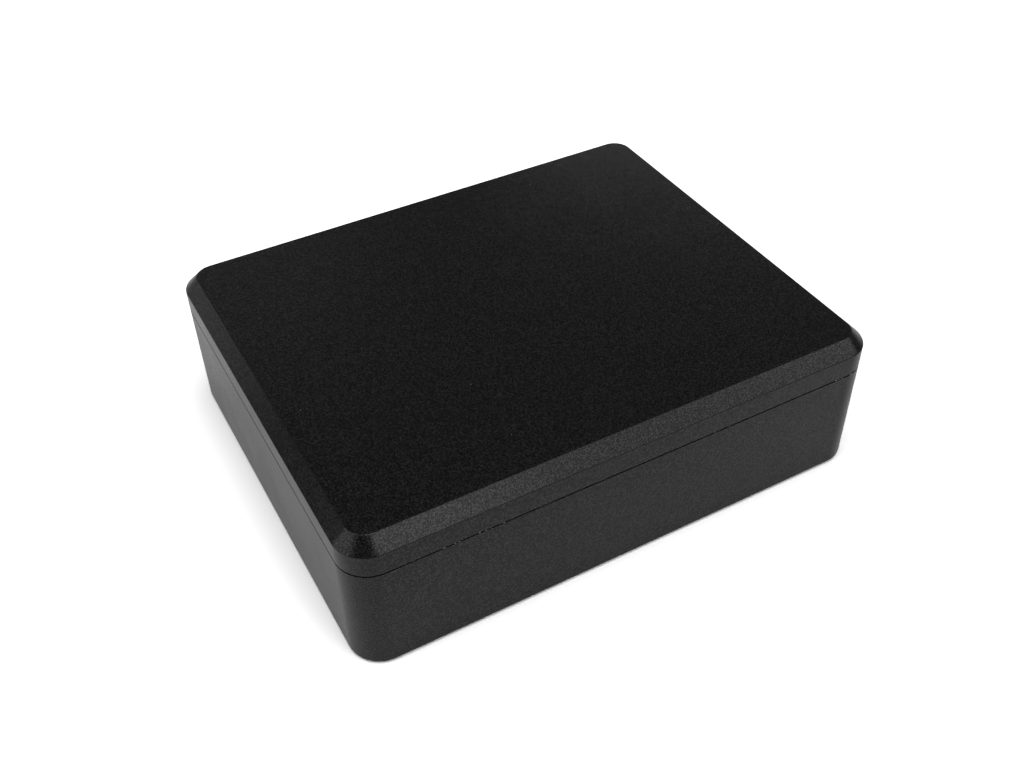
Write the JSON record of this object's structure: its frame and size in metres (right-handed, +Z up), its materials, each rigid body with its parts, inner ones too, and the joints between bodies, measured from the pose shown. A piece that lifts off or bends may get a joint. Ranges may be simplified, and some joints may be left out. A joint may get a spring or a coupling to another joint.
{
  "type": "demagnetizer",
  "caption": "Low rectangular plastic case with a chamfered lid: a battery-powered pulse demagnetizer that a watch is laid on, with a push button and a sliding battery door.",
  "frame": {"origin": "middle of the footprint, on the surface that the rubber feet stand on", "axes": "+Z up out of the top face that the watch is laid on, +X along the long side towards the end that the battery door slides out of, +Y towards the control side with the button"},
  "size_m": [0.09, 0.073, 0.0255],
  "materials": {
    "case_plastic": "moulded black ABS, fine spark grain",
    "lid_plastic": "moulded black ABS, fine spark grain",
    "door_plastic": "moulded black ABS",
    "foot_rubber": "moulded rubber",
    "screw_steel": "zinc-plated steel",
    "insert_brass": "turned brass",
    "button_plastic": "moulded dark grey ABS, satin",
    "plunger_plastic": "natural acetal",
    "switch_plastic": "glass-filled nylon",
    "clear_plastic": "moulded clear acrylic",
    "lamp_epoxy": "tinted cast epoxy",
    "former_nylon": "natural nylon",
    "copper_wire": "enamelled copper wire",
    "polyester_tape": "yellow polyester tape",
    "ferrite": "sintered ferrite, ground faces",
    "pad_foam": "closed-cell foam",
    "clamp_steel": "stamped steel sheet",
    "board_laminate": "glass-epoxy laminate, green solder mask",
    "capacitor_sleeve": "shrunk PVC sleeve",
    "capacitor_epoxy": "dipped epoxy",
    "package_epoxy": "moulded epoxy",
    "resistor_lacquer": "baked lacquer",
    "battery_can": "printed steel jacket",
    "snap_nickel": "nickel-plated brass",
    "plate_fibre": "vulcanised fibre",
    "red_insulation": "PVC insulation",
    "black_insulation": "PVC insulation",
    "label_film": "silver polyester film, blank"
  },
  "bodies": {
    "case": {"case_base": "case_plastic", "case_lid": "lid_plastic", "rubber_feet": "foot_rubber", "case_screws": "screw_steel", "threaded_inserts": "insert_brass", "switch_housing": "switch_plastic", "light_pipes": "clear_plastic", "status_leds": "lamp_epoxy", "coil_former": "former_nylon", "coil_winding": "copper_wire", "coil_tape": "polyester_tape", "coil_core": "ferrite", "coil_back_plate": "ferrite", "coil_pad": "pad_foam", "coil_clamp": "clamp_steel", "clamp_screws": "screw_steel", "coil_leads": "copper_wire", "circuit_board": "board_laminate", "board_screws": "screw_steel", "storage_capacitor": "capacitor_sleeve", "pulse_capacitor": "capacitor_epoxy", "transformer_core": "ferrite", "transformer_winding": "polyester_tape", "thyristor": "package_epoxy", "diodes": "package_epoxy", "resistors": "resistor_lacquer", "controller_chip": "package_epoxy", "battery": "battery_can", "battery_snaps": "snap_nickel", "contact_plate": "plate_fibre", "contact_snaps": "snap_nickel", "positive_lead": "red_insulation", "negative_lead": "black_insulation", "blank_label": "label_film"},
    "button": {"fire_button": "button_plastic", "switch_plunger": "plunger_plastic"},
    "door": {"battery_door": "door_plastic"}
  },
  "joints": [
    {"name": "fire_press", "type": "slide", "parent": "case", "child": "button", "axis": [0, -1, 0], "range_m": [0, 0.001], "stiffness_N_per_m": 1500},
    {"name": "door_slide", "type": "slide", "parent": "case", "child": "door", "axis": [1, 0, 0], "range_m": [0, 0.032]}
  ]
}
